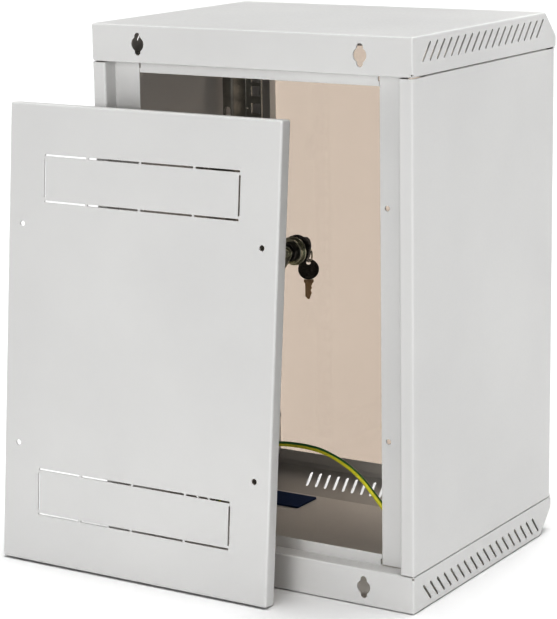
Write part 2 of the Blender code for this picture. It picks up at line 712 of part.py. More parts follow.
# ---------------------------------------------------------------- door
def make_hinge_brackets():
    """A folded plate with a pin on each cap; the door's shoes turn on the pins."""
    front = -HALF_D - GAP
    base = CAP_HEIGHT + GAP
    half = HINGE_PLATE / 2
    leg = [
        (front - half, HINGE_SCREW_Z - 0.0045),
        (front - half, base + half),
        (-HALF_D + FRONT_SETBACK - GAP, base + half),
    ]
    shape = prism(bent_strip(leg, HINGE_PLATE, 0.0010), -0.1528, -0.1392, along_x)
    lower = add_object("lower_hinge_bracket", shape, "powder_coat")
    ear_low = (-0.1504, HINGE_Y - 0.0036, base)
    join(lower, box(ear_low, (-0.1426, -HALF_D + 0.001, base + HINGE_PLATE)))
    pin = circle((HINGE_X, HINGE_Y), HINGE_PIN_RADIUS, 24)
    join(lower, prism(pin, base + 0.0005, base + 0.0115, along_z))
    for x in HINGE_SCREW_X:
        cut(lower, prism(circle((-x, HINGE_SCREW_Z), 0.0016, 12), front - 0.003, front + 0.001, along_y))
    mirrored("upper_hinge_bracket", lower, "powder_coat", "Z")
    seat = front - HINGE_PLATE - GAP
    number = 0
    for z in (HINGE_SCREW_Z, HEIGHT - HINGE_SCREW_Z):
        for x in HINGE_SCREW_X:
            number += 1
            screw(f"hinge_screw_{number}", (-x, seat, z), (0, 1, 0), 0.0026, 0.0016, 0.0012, 0.0065, 12)


def make_hinge_shoes():
    """Steel shoes that grip the glass at its hinged corners and carry it on the pins."""
    low = CAP_HEIGHT + GAP + HINGE_PLATE + GAP
    high = low + SHOE_HEIGHT
    front = HINGE_Y - SHOE_RADIUS
    back = HINGE_Y + SHOE_RADIUS
    lower = add_object("lower_hinge_shoe", box((HINGE_X, front, low), (SHOE_END, back, high)), "zinc")
    join(lower, prism(circle((HINGE_X, HINGE_Y), SHOE_RADIUS, 32), low, high, along_z))
    slot_low = (GLASS_LEFT - GAP, GLASS_FRONT - GAP, GLASS_LOW - GAP)
    cut(lower, box(slot_low, (SHOE_END + 0.008, GLASS_FRONT + GLASS_THICK + GAP, high + 0.001)))
    bore = circle((HINGE_X, HINGE_Y), HINGE_PIN_RADIUS + 0.0002, 24)
    cut(lower, prism(bore, low - 0.001, low + 0.0116, along_z))
    screw_x, screw_rise = SHOE_SCREW
    thread = circle((screw_x, low + screw_rise), 0.0017, 12)
    cut(lower, prism(thread, front - 0.001, GLASS_FRONT - GAP / 2, along_y))
    mirrored("upper_hinge_shoe", lower, "zinc", "Z")
    for z, level in ((low + screw_rise, "lower"), (HEIGHT - low - screw_rise, "upper")):
        screw(f"{level}_shoe_screw", (screw_x, front - GAP, z), (0, 1, 0), 0.0030, 0.0018, 0.0014, 0.0011, 12)


def make_glass():
    """A single pane of bronze safety glass, drilled for the lock."""
    outline = rounded_rectangle((GLASS_LEFT, GLASS_LOW), (GLASS_RIGHT, HEIGHT - GLASS_LOW), 0.003)
    pane = prism(outline, GLASS_FRONT, GLASS_FRONT + GLASS_THICK, along_y)
    glass = add_object("glass_door", pane, "bronze_glass")
    bore = circle((LOCK_X, LOCK_Z), LOCK_BORE, 32)
    cut(glass, prism(bore, GLASS_FRONT - 0.002, GLASS_FRONT + 0.006, along_y))


def make_bumpers():
    """Soft pads on the right flange that the door closes on."""
    face = -HALF_D + FRONT_SETBACK - GAP
    profile = [(0, 0), (BUMPER_RADIUS, 0), (BUMPER_RADIUS - 0.0006, 0.0010), (0, 0.0010)]
    for z, level in ((BUMPER_Z, "lower"), (HEIGHT - BUMPER_Z, "upper")):
        add_object(f"{level}_door_bumper", turned(profile, 20, (BUMPER_X, face, z), (0, -1, 0)), "clear_rubber")


# ---------------------------------------------------------------- lock and keys
def make_lock():
    """A cam lock through the glass: black outer housing, washer and nut inside, plug, cam and screw."""
    centre = (LOCK_X, 0, LOCK_Z)
    along = (0, 1, 0)
    glass_back = GLASS_FRONT + GLASS_THICK
    barrel_end = CAM_BACK - CAM_THICK - GAP
    flange = GLASS_FRONT - GAP
    barrel = LOCK_BORE - GAP
    housing = [
        (LOCK_WELL, flange - LOCK_PROUD), (LOCK_RIM - 0.0014, flange - LOCK_PROUD), (LOCK_RIM, flange - LOCK_PROUD + 0.0014),
        (LOCK_RIM, flange), (barrel, flange), (barrel, barrel_end), (LOCK_WELL, barrel_end),
    ]
    add_object("lock_housing", turned_ring(housing, 32, centre, along), "black_lock")
    washer = ring_profile(LOCK_BORE, 0.0140, glass_back + GAP, glass_back + 0.0017)
    add_object("lock_washer", turned_ring(washer, 32, centre, along), "steel")
    low = glass_back + 0.0017 + GAP
    high = low + 0.0050
    nut = [(LOCK_BORE, low), (0.0122, low), (0.0122, high - 0.001), (0.0113, high), (LOCK_BORE, high)]
    add_object("lock_nut", turned_ring(nut, 32, centre, along), "steel")
    plug_end = barrel_end - 0.0002
    plug = [
        (0, PLUG_FRONT), (PLUG_RADIUS, PLUG_FRONT), (PLUG_RADIUS, plug_end), (0.0023, plug_end),
        (0.0023, plug_end - CAM_SCREW_HOLE), (0, plug_end - CAM_SCREW_HOLE),
    ]
    plug_object = add_object("lock_plug", turned(plug, 24, centre, along), "zinc")
    keyway_low = (LOCK_X - 0.0013, PLUG_FRONT - 0.001, LOCK_Z - 0.0038)
    keyway_high = (LOCK_X + 0.0013, PLUG_FRONT + KEY_BLADE + 0.0006, LOCK_Z + 0.0038)
    cut(plug_object, box(keyway_low, keyway_high))
    make_cam()
    screw("cam_screw", (LOCK_X, CAM_BACK + GAP, LOCK_Z), (0, -1, 0), 0.0050, 0.0032, 0.0019, 0.0060, 20)


def make_cam():
    """The lock's bolt: a flat steel arm on the plug."""
    arm = arc((0, 0), 0.0070, math.radians(90), math.radians(270), 12)
    arm += [(0.0235, -0.0052), (0.0262, -0.0030), (0.0262, 0.0030), (0.0235, 0.0052)]
    cam = add_object("lock_cam", prism(arm, CAM_BACK - CAM_THICK, CAM_BACK, along_y), "steel")
    cut(cam, prism(circle((0, 0), 0.0022, 20), CAM_BACK - CAM_THICK - 0.001, CAM_BACK + 0.001, along_y))
    turn = Matrix.Rotation(math.radians(-LOCK_CAM_ANGLE), 4, "Y")
    cam.data.transform(Matrix.Translation((LOCK_X, 0, LOCK_Z)) @ turn)


def key_outline():
    """Side view of a key's blade: a broad shoulder at the bow, then a narrower bitted blade."""
    neck = BOW_RADIUS + GAP
    shoulder = neck + KEY_SHOULDER
    tip = shoulder + KEY_BLADE
    half = KEY_BLADE_HALF
    broad = KEY_SHOULDER_HALF
    bitting = [
        (tip - 0.0140, -half), (tip - 0.0128, -half + 0.0013), (tip - 0.0108, -half + 0.0002),
        (tip - 0.0084, -half + 0.0018), (tip - 0.0060, -half + 0.0006), (tip - 0.0035, -half + 0.0016),
    ]
    return (
        [(neck, -broad), (shoulder - 0.0010, -broad), (shoulder, -half)]
        + bitting
        + [(tip, -0.0006), (tip, 0.0012), (tip - 0.0026, half)]
        + [(shoulder, half), (shoulder - 0.0010, broad), (neck, broad)]
    )


def make_key(prefix, placement):
    """A flat key with a round black bow; its blade points along +Y and its flat sides face X."""
    disc = prism(circle((0, 0), BOW_RADIUS, 40), -BOW_THICK / 2, BOW_THICK / 2, along_x)
    bow = add_object(f"{prefix}_bow", disc, "black_plastic")
    cut(bow, prism(circle((-BOW_HOLE_OFFSET, 0), BOW_HOLE_RADIUS, 24), -0.005, 0.005, along_x))
    blade = add_object(f"{prefix}_blade", prism(key_outline(), -0.0010, 0.0010, along_x), "key_metal")
    for piece in (bow, blade):
        piece.data.transform(placement)


def make_ring(centre, azimuth):
    """The key ring, one closed loop of wire in an upright plane."""
    steps, sides = 40, 8
    bm = bmesh.new()
    loops = []
    for i in range(steps):
        angle = 2 * math.pi * i / steps
        radial = Vector((math.cos(angle), 0, math.sin(angle)))
        loop = []
        for across, along in circle((RING_RADIUS, 0), RING_WIRE, sides):
            loop.append(bm.verts.new(radial * across + Vector((0, along, 0))))
        loops.append(loop)
    for here, there in zip(loops, loops[1:] + loops[:1]):
        for j in range(sides):
            after = (j + 1) % sides
            bm.faces.new((here[j], here[after], there[after], there[j]))
    spin = Matrix.Rotation(math.radians(azimuth), 4, "Z")
    bmesh.ops.transform(bm, matrix=Matrix.Translation(centre) @ spin, verts=bm.verts)
    add_object("key_ring", bm, "steel")


def make_keys():
    """The key in the lock, the ring through its bow, and the spare key that hangs from the ring."""
    make_key("key", Matrix.Translation((LOCK_X, KEY_HOLE_Y + BOW_HOLE_OFFSET, LOCK_Z)))
    wire_top = LOCK_Z - RING_DROP
    make_ring((LOCK_X, KEY_HOLE_Y, wire_top - RING_RADIUS), RING_AZIMUTH)
    hang = wire_top - 2 * RING_RADIUS - RING_DROP - BOW_HOLE_OFFSET
    down = Matrix.Rotation(math.radians(-90), 4, "X")
    face = Matrix.Rotation(math.radians(SPARE_AZIMUTH), 4, "Z")
    make_key("spare_key", Matrix.Translation((LOCK_X, KEY_HOLE_Y, hang)) @ face @ down)


# ---------------------------------------------------------------- earthing
def lug_frame(end, inner):
    """Placement of a lug in line with the lead's route, with its origin under the lead's end."""
    heading = Vector((end[0] - inner[0], end[1] - inner[1], 0)).normalized()
    across = Vector((-heading.y, heading.x, 0))
    return Matrix((
        (heading.x, across.x, 0, end[0]),
        (heading.y, across.y, 0, end[1]),
        (0, 0, 1, 0),
        (0, 0, 0, 1),
    ))


def make_lug(name, end, inner):
    """A ring terminal: a barrel that the lead enters, a fold, and a palm on the floor."""
    floor = SHEET + 0.0014
    slope = math.atan2(inner[2] - end[2], math.hypot(inner[0] - end[0], inner[1] - end[1]))
    along = Vector((-math.cos(slope), 0, math.sin(slope)))
    top = Vector((0, 0, end[2])) - along * GAP
    bottom = top - along * LUG_BARREL_LENGTH
    profile = [(0, 0), (LUG_BARREL_RADIUS, 0), (LUG_BARREL_RADIUS, LUG_BARREL_LENGTH), (0, LUG_BARREL_LENGTH)]
    lug = add_object(name, turned(profile, 20, bottom, along), "zinc")
    palm = floor + LUG_SHEET / 2
    knee = bottom.x - along.x * (bottom.z - palm) / along.z
    root = (bottom + top) / 2
    strip = bent_strip([(root.x, root.z), (knee, palm), (knee + 0.0135, palm)], LUG_SHEET, 0.0020)
    join(lug, prism(strip, -LUG_HALF_WIDTH, LUG_HALF_WIDTH, along_y))
    stud_x = knee + STUD_FROM_KNEE
    cut(lug, prism(circle((stud_x, 0), STUD_RADIUS + 0.0004, 20), floor - 0.002, floor + 0.003, along_z))
    frame = lug_frame(end, inner)
    lug.data.transform(frame)
    return frame @ Vector((stud_x, 0, 0))


def make_earthing():
    """Two floor studs with nuts, their lugs, and the earth lead that arches between them."""
    base = SHEET + GAP
    foot = base + STUD_BASE_HEIGHT
    profile = [
        (0, base), (STUD_BASE_RADIUS, base), (STUD_BASE_RADIUS, foot), (STUD_RADIUS, foot),
        (STUD_RADIUS, STUD_TOP), (0, STUD_TOP),
    ]
    for word, end, inner in (("right", 0, 1), ("left", -1, -2)):
        spot = make_lug(f"{word}_earth_lug", LEAD_ROUTE[end], LEAD_ROUTE[inner])
        add_object(f"{word}_earth_stud", turned(profile, 20, (spot.x, spot.y, 0), (0, 0, 1)), "zinc")
        seat = SHEET + 0.0014 + LUG_SHEET + GAP
        hex_nut(f"{word}_earth_nut", (spot.x, spot.y, seat), (0, 0, 1), STUD_RADIUS + GAP, 0.0100, 0.0050)
    make_lead()


def smooth_route(points, spacing):
    """Points at even spacing on a smooth curve through the given ones."""
    points = [Vector(p) for p in points]
    padded = [2 * points[0] - points[1]] + points + [2 * points[-1] - points[-2]]
    fine = []
    for a, b, c, d in zip(padded, padded[1:], padded[2:], padded[3:]):
        for i in range(24):
            t = i / 24
            bend = (2 * a - 5 * b + 4 * c - d) * t ** 2
            twist = (3 * b - a - 3 * c + d) * t ** 3
            fine.append((2 * b + (c - a) * t + bend + twist) / 2)
    fine.append(points[-1])
    total = sum((q - p).length for p, q in zip(fine, fine[1:]))
    count = max(2, round(total / spacing))
    result, walked, index = [fine[0]], 0.0, 0
    for step in range(1, count):
        target = total * step / count
        while walked + (fine[index + 1] - fine[index]).length < target:
            walked += (fine[index + 1] - fine[index]).length
            index += 1
        share = (target - walked) / (fine[index + 1] - fine[index]).length
        result.append(fine[index].lerp(fine[index + 1], share))
    result.append(fine[-1])
    return result


def make_lead():
    """The green and yellow earth lead as one tube."""
    curve = bpy.data.curves.new("earth_lead", "CURVE")
    curve.dimensions = "3D"
    curve.bevel_depth = LEAD_RADIUS
    curve.bevel_resolution = 2
    curve.use_fill_caps = True
    route = smooth_route(LEAD_ROUTE, LEAD_RADIUS * 2 * 2.2)
    spline = curve.splines.new("POLY")
    spline.points.add(len(route) - 1)
    for point, place in zip(spline.points, route):
        point.co = (*place, 1)
    colour, roughness, metallic = FINISHES["earth_sheath"]
    curve.materials.append(material("earth_lead", colour, roughness, metallic))
    lead = bpy.data.objects.new("earth_lead", curve)
    bpy.context.collection.objects.link(lead)


# ---------------------------------------------------------------- rear panel
def knockout_slits(middle):
    """Narrow slits around one cable knock-out, broken by small bridges."""
    half_w = KNOCKOUT_WIDTH / 2
    half_h = KNOCKOUT_HEIGHT / 2
    breaks = (-half_w - BRIDGE / 2, *KNOCKOUT_BRIDGES, half_w + BRIDGE / 2)
    for z in (middle - half_h, middle + half_h):
        for start, end in zip(breaks, breaks[1:]):
            yield box((start + BRIDGE / 2, -0.004, z - SLIT / 2), (end - BRIDGE / 2, 0.004, z + SLIT / 2))
    for x in (-half_w, half_w):
        clear = half_h - SLIT / 2 - BRIDGE
        yield box((x - SLIT / 2, -0.004, middle - clear), (x + SLIT / 2, 0.004, middle + clear))


def make_rear_panel():
    """The rear panel, a shallow pan, taken off and leaning against the cabinet's rear."""
    half_w = REAR_PANEL_WIDTH / 2
    half_h = REAR_PANEL_HEIGHT / 2

    def on_face(edge):
        return sum(vert.co.y > -REAR_PANEL_DEPTH / 2 for vert in edge.verts) > 0

    outer = rounded_box((-half_w, -REAR_PANEL_DEPTH, -half_h), (half_w, 0, half_h), 0.0020, 3, on_face)
    panel = add_object("rear_panel", outer, "powder_coat")
    inner_low = (-half_w + SHEET, -REAR_PANEL_DEPTH - 0.002, -half_h + SHEET)
    cut(panel, box(inner_low, (half_w - SHEET, -SHEET, half_h - SHEET)))
    cut(panel, *knockout_slits(KNOCKOUT_Z), *knockout_slits(-KNOCKOUT_Z))
    for x in (-FIXING_X, FIXING_X):
        for z in (-FIXING_Z, FIXING_Z):
            cut(panel, prism(circle((x, z), PANEL_HOLE_RADIUS, 20), -0.004, 0.004, along_y))
    sine, cosine = math.sin(REAR_PANEL_LEAN), math.cos(REAR_PANEL_LEAN)
    y = HALF_D + GAP + REAR_PANEL_DEPTH * cosine + half_h * sine
    z = REAR_PANEL_DEPTH * sine + half_h * cosine
    lean = Matrix.Rotation(REAR_PANEL_LEAN, 4, "X")
    panel.data.transform(Matrix.Translation((REAR_PANEL_X, y, z)) @ lean)


# ---------------------------------------------------------------- assembly
def main():
    for old in list(bpy.data.objects):
        bpy.data.objects.remove(old, do_unlink=True)
    make_caps()
    make_side_panels()
    make_panel_screws()
    make_rails()
    make_hinge_brackets()
    make_hinge_shoes()
    make_glass()
    make_bumpers()
    make_lock()
    make_keys()
    make_earthing()
    make_rear_panel()


main()
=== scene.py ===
"""Looks of the ten-inch network rack cabinet.

Finishes, smooth hardware, the earth lead, the keys, lights and a camera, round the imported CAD.
"""

import json
import math

import bmesh
import bpy
from mathutils import Matrix, Vector

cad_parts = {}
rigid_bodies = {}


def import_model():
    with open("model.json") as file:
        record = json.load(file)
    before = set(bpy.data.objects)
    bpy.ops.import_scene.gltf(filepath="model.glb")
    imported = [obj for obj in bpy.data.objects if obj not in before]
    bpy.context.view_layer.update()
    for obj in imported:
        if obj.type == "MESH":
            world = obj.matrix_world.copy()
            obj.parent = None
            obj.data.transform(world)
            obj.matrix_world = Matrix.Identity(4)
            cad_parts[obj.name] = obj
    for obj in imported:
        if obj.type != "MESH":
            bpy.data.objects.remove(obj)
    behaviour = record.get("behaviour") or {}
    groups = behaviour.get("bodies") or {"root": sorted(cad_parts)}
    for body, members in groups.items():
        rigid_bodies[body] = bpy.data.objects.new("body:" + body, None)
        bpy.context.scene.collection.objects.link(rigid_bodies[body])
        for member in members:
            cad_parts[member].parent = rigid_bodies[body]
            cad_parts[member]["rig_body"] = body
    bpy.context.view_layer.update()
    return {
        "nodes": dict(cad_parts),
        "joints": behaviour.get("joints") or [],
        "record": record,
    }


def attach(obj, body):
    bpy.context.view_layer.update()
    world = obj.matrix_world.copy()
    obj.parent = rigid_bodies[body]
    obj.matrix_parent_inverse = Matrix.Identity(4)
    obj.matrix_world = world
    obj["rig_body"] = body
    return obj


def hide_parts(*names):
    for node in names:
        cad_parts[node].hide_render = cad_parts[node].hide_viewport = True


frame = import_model()

NODES = frame["nodes"]
SLOT_OF = {s["node"]: s["material_slot"] for s in frame["record"]["subparts"]}
JOINT = {j["name"]: j for j in frame["joints"]}


# ---------------------------------------------------------------- node helpers
def add(material, kind, inputs=None, **settings):
    """A shader node with its settings and its inputs, each a value or a socket to link."""
    made = material.node_tree.nodes.new(kind)
    for name, value in settings.items():
        setattr(made, name, value)
    for name, value in (inputs or {}).items():
        if isinstance(value, bpy.types.NodeSocket):
            material.node_tree.links.new(value, made.inputs[name])
        else:
            made.inputs[name].default_value = value
    return made


def new_material(name):
    """A material with an empty tree, and its coordinates in metres in the shared frame."""
    material = bpy.data.materials.new(name)
    material.use_nodes = True
    material.node_tree.nodes.clear()
    return material, add(material, "ShaderNodeTexCoord").outputs["Object"]


def finish_material(material, surface):
    out = add(material, "ShaderNodeOutputMaterial")
    material.node_tree.links.new(surface, out.inputs["Surface"])
    return material


def noise(material, at, scale, detail=2.0, rough=0.5, distortion=0.0):
    inputs = {"Vector": at, "Scale": scale, "Detail": detail, "Roughness": rough}
    inputs["Distortion"] = distortion
    return add(material, "ShaderNodeTexNoise", inputs).outputs["Fac"]


def stretched(material, at, factors):
    """Coordinates stretched along the axes, for brushed and streaked finishes."""
    return add(material, "ShaderNodeMapping", {"Vector": at, "Scale": factors}).outputs["Vector"]


def ranged(material, value, low, high, to_low, to_high, smooth=False):
    inputs = {"Value": value, "From Min": low, "From Max": high, "To Min": to_low, "To Max": to_high}
    kind = "SMOOTHSTEP" if smooth else "LINEAR"
    return add(material, "ShaderNodeMapRange", inputs, interpolation_type=kind).outputs["Result"]


def math_of(material, operation, a, b=None):
    inputs = {0: a} if b is None else {0: a, 1: b}
    return add(material, "ShaderNodeMath", inputs, operation=operation).outputs[0]


def mixed(material, factor, a, b):
    """A mix of two colours, each a tuple or a socket."""
    def full(colour):
        return colour if isinstance(colour, bpy.types.NodeSocket) else (*colour[:3], 1.0)
    inputs = {0: factor, 6: full(a), 7: full(b)}
    return add(material, "ShaderNodeMix", inputs, data_type="RGBA", blend_type="MIX").outputs[2]


def bump(material, height, distance, strength=1.0, normal=None):
    inputs = {"Height": height, "Distance": distance, "Strength": strength}
    if normal is not None:
        inputs["Normal"] = normal
    return add(material, "ShaderNodeBump", inputs).outputs["Normal"]


def rounded(material, radius):
    """The normal with edges eased to a radius, and how much a point is on an edge."""
    eased = add(material, "ShaderNodeBevel", {"Radius": radius}, samples=6).outputs["Normal"]
    flat = add(material, "ShaderNodeNewGeometry").outputs["Normal"]
    along = add(material, "ShaderNodeVectorMath", {0: eased, 1: flat}, operation="DOT_PRODUCT")
    return eased, ranged(material, along.outputs["Value"], 0.80, 0.995, 1.0, 0.0, smooth=True)


def principled(material, colour, rough, normal=None, **values):
    """A Principled shader; plain values go on its own sockets."""
    inputs = {"Base Color": colour, "Roughness": rough}
    if not isinstance(colour, bpy.types.NodeSocket):
        inputs["Base Color"] = (*colour[:3], 1.0)
    if normal is not None:
        inputs["Normal"] = normal
    inputs.update({name.replace("_", " "): value for name, value in values.items()})
    return add(material, "ShaderNodeBsdfPrincipled", inputs).outputs["BSDF"]


# ---------------------------------------------------------------- finishes
def powder_coat():
    """Light grey polyester powder coat: faint orange peel, a fine grain, and a painted highlight that
    pales the folds.
    """
    m, at = new_material("powder_coat")
    eased, edge = rounded(m, 0.0005)
    cloud = noise(m, at, 6.0, 3.0)
    speck = noise(m, at, 1900.0, 2.0, 0.6)
    peel = noise(m, at, 380.0, 2.0, 0.45)
    body = mixed(m, ranged(m, cloud, 0.35, 0.65, 0.0, 1.0), (0.650, 0.648, 0.642), (0.680, 0.678, 0.670))
    dulled = mixed(m, 0.06, body, (0.45, 0.45, 0.45))
    body = mixed(m, ranged(m, speck, 0.30, 0.70, 0.0, 1.0), dulled, body)
    # painted highlight: the folds and edges are mixed towards a paler grey
    body = mixed(m, math_of(m, "MULTIPLY", edge, 0.10), body, (0.76, 0.76, 0.75))
    scuffs = noise(m, stretched(m, at, (60.0, 60.0, 12.0)), 4.0, 4.0, 0.65, 0.6)
    rough = ranged(m, peel, 0.3, 0.7, 0.40, 0.50)
    rough = math_of(m, "ADD", rough, ranged(m, scuffs, 0.62, 0.74, 0.0, -0.07, smooth=True))
    rough = math_of(m, "SUBTRACT", rough, math_of(m, "MULTIPLY", edge, 0.10))
    normal = bump(m, peel, 0.00006, 0.55, eased)
    normal = bump(m, speck, 0.00002, 0.35, normal)
    return finish_material(m, principled(m, body, rough, normal, Specular_IOR_Level=0.42))


def zinc_sheet():
    """Zinc-plated sheet: soft mottling, rolling streaks up the rail, and bright sheared edges, partly
    bare steel and partly a painted highlight.
    """
    m, at = new_material("zinc_sheet")
    eased, edge = rounded(m, 0.0008)
    mottle = noise(m, at, 70.0, 4.0, 0.6, 0.4)
    streak = noise(m, stretched(m, at, (900.0, 900.0, 14.0)), 1.0, 3.0, 0.55)
    cells = add(m, "ShaderNodeTexVoronoi", {"Vector": at, "Scale": 160.0, "Randomness": 1.0})
    grey = add(m, "ShaderNodeRGBToBW", {"Color": cells.outputs["Color"]}).outputs["Val"]
    body = mixed(m, ranged(m, mottle, 0.3, 0.7, 0.0, 1.0), (0.26, 0.26, 0.235), (0.38, 0.37, 0.345))
    body = mixed(m, ranged(m, grey, 0.2, 0.8, 0.0, 0.16), body, (0.52, 0.52, 0.49))
    # bright sheared edges: partly the bare steel of the cut, partly a painted highlight
    body = mixed(m, math_of(m, "MULTIPLY", edge, 0.8), body, (0.86, 0.85, 0.82))
    rough = ranged(m, streak, 0.3, 0.7, 0.30, 0.44)
    rough = math_of(m, "SUBTRACT", rough, math_of(m, "MULTIPLY", edge, 0.08))
    normal = bump(m, streak, 0.00003, 0.30, bump(m, mottle, 0.00005, 0.25, eased))
    return finish_material(m, principled(m, body, rough, normal, Metallic=1.0))


def zinc_hardware():
    """Bright zinc plating on the small hardware, faintly blue and straw in turns, with a painted
    highlight on its edges.
    """
    m, at = new_material("zinc_hardware")
    eased, edge = rounded(m, 0.00025)
    tint = noise(m, at, 130.0, 3.0, 0.55)
    fine = noise(m, at, 2600.0, 3.0, 0.6)
    scratch = noise(m, stretched(m, at, (2400.0, 300.0, 300.0)), 1.0, 3.0, 0.6)
    body = mixed(m, ranged(m, tint, 0.38, 0.62, 0.0, 1.0), (0.58, 0.60, 0.63), (0.68, 0.65, 0.56))
    # painted highlight: the edges are mixed towards a pale zinc
    body = mixed(m, math_of(m, "MULTIPLY", edge, 0.6), body, (0.84, 0.83, 0.80))
    rough = ranged(m, scratch, 0.35, 0.70, 0.24, 0.38)
    normal = bump(m, fine, 0.00002, 0.35, eased)
    return finish_material(m, principled(m, body, rough, normal, Metallic=1.0))


def lock_steel():
    """Nickel-plated lock parts with turning marks round the lock's axis, an olive cast and a painted
    highlight on the edges.
    """
    m, at = new_material("lock_steel")
    eased, edge = rounded(m, 0.0006)
    axis = JOINT["lock_turn"]["pos_m"]
    onto_face = {"Vector": at, "Location": (-axis[0], 0, -axis[2]), "Scale": (1, 0, 1)}
    flat = add(m, "ShaderNodeMapping", onto_face).outputs["Vector"]
    radius = add(m, "ShaderNodeVectorMath", {0: flat}, operation="LENGTH").outputs["Value"]
    rings = add(m, "ShaderNodeCombineXYZ", {"X": radius}).outputs["Vector"]
    turning = noise(m, rings, 5200.0, 3.0, 0.6)
    stain = noise(m, at, 220.0, 3.0, 0.6)
    body = mixed(m, ranged(m, stain, 0.35, 0.65, 0.0, 1.0), (0.46, 0.48, 0.39), (0.64, 0.65, 0.55))
    # painted highlight: the edges are mixed towards near white, for bright arcs on the rings
    body = mixed(m, math_of(m, "MULTIPLY", edge, 0.85), body, (0.93, 0.92, 0.87))
    rough = ranged(m, turning, 0.3, 0.7, 0.13, 0.28)
    normal = bump(m, turning, 0.00004, 0.55, eased)
    return finish_material(m, principled(m, body, rough, normal, Metallic=1.0))


def black_lock():
    """Black enamel on die-cast metal, glossy, with a slight peel and a painted highlight on the rims."""
    m, at = new_material("black_lock")
    eased, edge = rounded(m, 0.0005)
    peel = noise(m, at, 620.0, 2.0, 0.5)
    dust = noise(m, at, 1500.0, 3.0, 0.7)
    body = mixed(m, ranged(m, dust, 0.60, 0.75, 0.0, 0.35), (0.011, 0.011, 0.011), (0.055, 0.052, 0.048))
    # painted highlight: the rims are mixed towards a lighter grey
    body = mixed(m, math_of(m, "MULTIPLY", edge, 0.22), body, (0.10, 0.10, 0.10))
    rough = ranged(m, peel, 0.3, 0.7, 0.16, 0.27)
    normal = bump(m, peel, 0.00005, 0.35, eased)
    return finish_material(m, principled(m, body, rough, normal, Coat_Weight=0.4, Coat_Roughness=0.08))


def key_bow():
    """Black moulded plastic with a fine spark texture, polished where it is held."""
    m, at = new_material("key_bow")
    spark = noise(m, at, 2600.0, 3.0, 0.65)
    worn = noise(m, at, 180.0, 2.0, 0.5)
    body = mixed(m, ranged(m, spark, 0.35, 0.65, 0.0, 1.0), (0.009, 0.009, 0.009), (0.018, 0.018, 0.018))
    rough = ranged(m, worn, 0.35, 0.65, 0.20, 0.34)
    normal = bump(m, spark, 0.00002, 0.30)
    return finish_material(m, principled(m, body, rough, normal, Specular_IOR_Level=0.55))


def key_blade():
    """Nickel over brass, brassy where it rubs, with cutter marks along the blade; the edges are brighter
    brass, partly worn plating and partly a painted highlight.
    """
    m, at = new_material("key_blade")
    eased, edge = rounded(m, 0.0003)
    drag = noise(m, stretched(m, at, (3000.0, 260.0, 3000.0)), 1.0, 3.0, 0.6)
    rub = noise(m, at, 320.0, 3.0, 0.6)
    body = mixed(m, ranged(m, rub, 0.40, 0.60, 0.0, 1.0), (0.50, 0.42, 0.29), (0.64, 0.57, 0.44))
    # brighter brass on the edges: partly worn plating, partly a painted highlight
    body = mixed(m, math_of(m, "MULTIPLY", edge, 0.7), body, (0.80, 0.68, 0.44))
    rough = ranged(m, drag, 0.3, 0.7, 0.26, 0.42)
    normal = bump(m, drag, 0.00003, 0.40, eased)
    return finish_material(m, principled(m, body, rough, normal, Metallic=1.0))


def navy_rubber():
    """The dark navy seal over the cable entry: matt rubber, dusty, with a fine leather grain."""
    m, at = new_material("navy_rubber")
    cells = add(m, "ShaderNodeTexVoronoi", {"Vector": at, "Scale": 1300.0}, feature="DISTANCE_TO_EDGE")
    grain = cells.outputs[0]
    dust = noise(m, at, 90.0, 5.0, 0.65)
    body = mixed(m, ranged(m, dust, 0.45, 0.70, 0.0, 0.5), (0.010, 0.036, 0.115), (0.030, 0.055, 0.120))
    rough = ranged(m, dust, 0.3, 0.7, 0.50, 0.68)
    normal = bump(m, ranged(m, grain, 0.0, 0.12, 0.0, 1.0), 0.00006, 0.40)
    return finish_material(m, principled(m, body, rough, normal, Specular_IOR_Level=0.25))


def bumper():
    """Soft dark rubber with a matt skin."""
    m, at = new_material("bumper")
    grain = noise(m, at, 1800.0, 3.0, 0.6)
    body = mixed(m, ranged(m, grain, 0.35, 0.65, 0.0, 1.0), (0.035, 0.035, 0.036), (0.065, 0.064, 0.062))
    rough = ranged(m, grain, 0.3, 0.7, 0.60, 0.78)
    normal = bump(m, grain, 0.00004, 0.40)
    return finish_material(m, principled(m, body, rough, normal))


def earth_sheath():
    """Green and yellow PVC: the two colours meet along the lead and wind slowly round it."""
    m, at = new_material("earth_sheath")
    lay = add(m, "ShaderNodeAttribute", attribute_name="stripe").outputs["Fac"]
    wander = math_of(m, "MULTIPLY", ranged(m, noise(m, at, 160.0, 2.0), 0.3, 0.7, -1.0, 1.0), 0.05)
    band = ranged(m, math_of(m, "ADD", lay, wander), -0.06, 0.06, 0.0, 1.0, smooth=True)
    soil = noise(m, at, 260.0, 4.0, 0.65)
    green = mixed(m, ranged(m, soil, 0.4, 0.7, 0.0, 1.0), (0.040, 0.200, 0.050), (0.060, 0.260, 0.060))
    yellow = mixed(m, ranged(m, soil, 0.4, 0.7, 0.0, 1.0), (0.820, 0.810, 0.070), (0.720, 0.690, 0.060))
    rough = ranged(m, soil, 0.3, 0.7, 0.28, 0.40)
    normal = bump(m, noise(m, at, 900.0, 2.0), 0.00004, 0.30)
    shader = principled(m, mixed(m, band, green, yellow), rough, normal, Specular_IOR_Level=0.5)
    return finish_material(m, shader)


GLASS_TINT = (0.665, 0.580, 0.508)


